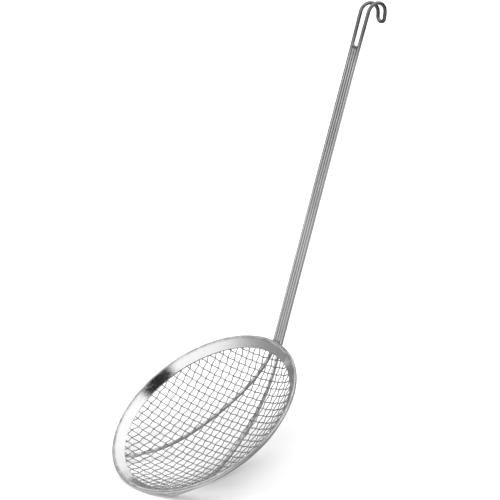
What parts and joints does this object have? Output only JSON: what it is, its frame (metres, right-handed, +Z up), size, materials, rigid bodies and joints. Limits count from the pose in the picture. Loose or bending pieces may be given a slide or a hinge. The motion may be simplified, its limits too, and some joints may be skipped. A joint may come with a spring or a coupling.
{
  "type": "spider skimmer",
  "caption": "Long-handled skimmer with a shallow dish of woven wire in a folded steel rim and a bent-wire hanging hook.",
  "frame": {"origin": "on the floor under the middle of the outer box, with the skimmer standing on the low edge of its rim as pictured", "axes": "+Z up, +X towards the handle and hook, +Y across the dish; the rim is tilted 34.5 degrees about Y and the handle rises 72.5 degrees"},
  "size_m": [0.2892, 0.2, 0.4386],
  "materials": {
    "mesh_wire_steel": "bright drawn stainless wire, lightly dulled at the crimps",
    "rim_steel": "polished stainless sheet with fine hoop-wise polishing lines",
    "handle_wire_steel": "bright drawn and polished stainless wire",
    "weld_steel": "cleaned weld, slightly rippled"
  },
  "bodies": {
    "root": {"frame_wire": "handle_wire_steel", "handle_welds": "weld_steel", "inner_wire_left": "handle_wire_steel", "inner_wire_right": "handle_wire_steel", "rib_welds": "weld_steel", "rim_band": "rim_steel", "warp_wire_01": "mesh_wire_steel", "warp_wire_02": "mesh_wire_steel", "warp_wire_03": "mesh_wire_steel", "warp_wire_04": "mesh_wire_steel", "warp_wire_05": "mesh_wire_steel", "warp_wire_06": "mesh_wire_steel", "warp_wire_07": "mesh_wire_steel", "warp_wire_08": "mesh_wire_steel", "warp_wire_09": "mesh_wire_steel", "warp_wire_10": "mesh_wire_steel", "warp_wire_11": "mesh_wire_steel", "warp_wire_12": "mesh_wire_steel", "warp_wire_13": "mesh_wire_steel", "warp_wire_14": "mesh_wire_steel", "warp_wire_15": "mesh_wire_steel", "warp_wire_16": "mesh_wire_steel", "warp_wire_17": "mesh_wire_steel", "warp_wire_18": "mesh_wire_steel", "warp_wire_19": "mesh_wire_steel", "warp_wire_20": "mesh_wire_steel", "warp_wire_21": "mesh_wire_steel", "warp_wire_22": "mesh_wire_steel", "warp_wire_23": "mesh_wire_steel", "warp_wire_24": "mesh_wire_steel", "warp_wire_25": "mesh_wire_steel", "warp_wire_26": "mesh_wire_steel", "warp_wire_27": "mesh_wire_steel", "weft_wire_01": "mesh_wire_steel", "weft_wire_02": "mesh_wire_steel", "weft_wire_03": "mesh_wire_steel", "weft_wire_04": "mesh_wire_steel", "weft_wire_05": "mesh_wire_steel", "weft_wire_06": "mesh_wire_steel", "weft_wire_07": "mesh_wire_steel", "weft_wire_08": "mesh_wire_steel", "weft_wire_09": "mesh_wire_steel", "weft_wire_10": "mesh_wire_steel", "weft_wire_11": "mesh_wire_steel", "weft_wire_12": "mesh_wire_steel", "weft_wire_13": "mesh_wire_steel", "weft_wire_14": "mesh_wire_steel", "weft_wire_15": "mesh_wire_steel", "weft_wire_16": "mesh_wire_steel", "weft_wire_17": "mesh_wire_steel", "weft_wire_18": "mesh_wire_steel", "weft_wire_19": "mesh_wire_steel", "weft_wire_20": "mesh_wire_steel", "weft_wire_21": "mesh_wire_steel", "weft_wire_22": "mesh_wire_steel", "weft_wire_23": "mesh_wire_steel", "weft_wire_24": "mesh_wire_steel", "weft_wire_25": "mesh_wire_steel", "weft_wire_26": "mesh_wire_steel", "weft_wire_27": "mesh_wire_steel"}
  },
  "joints": []
}
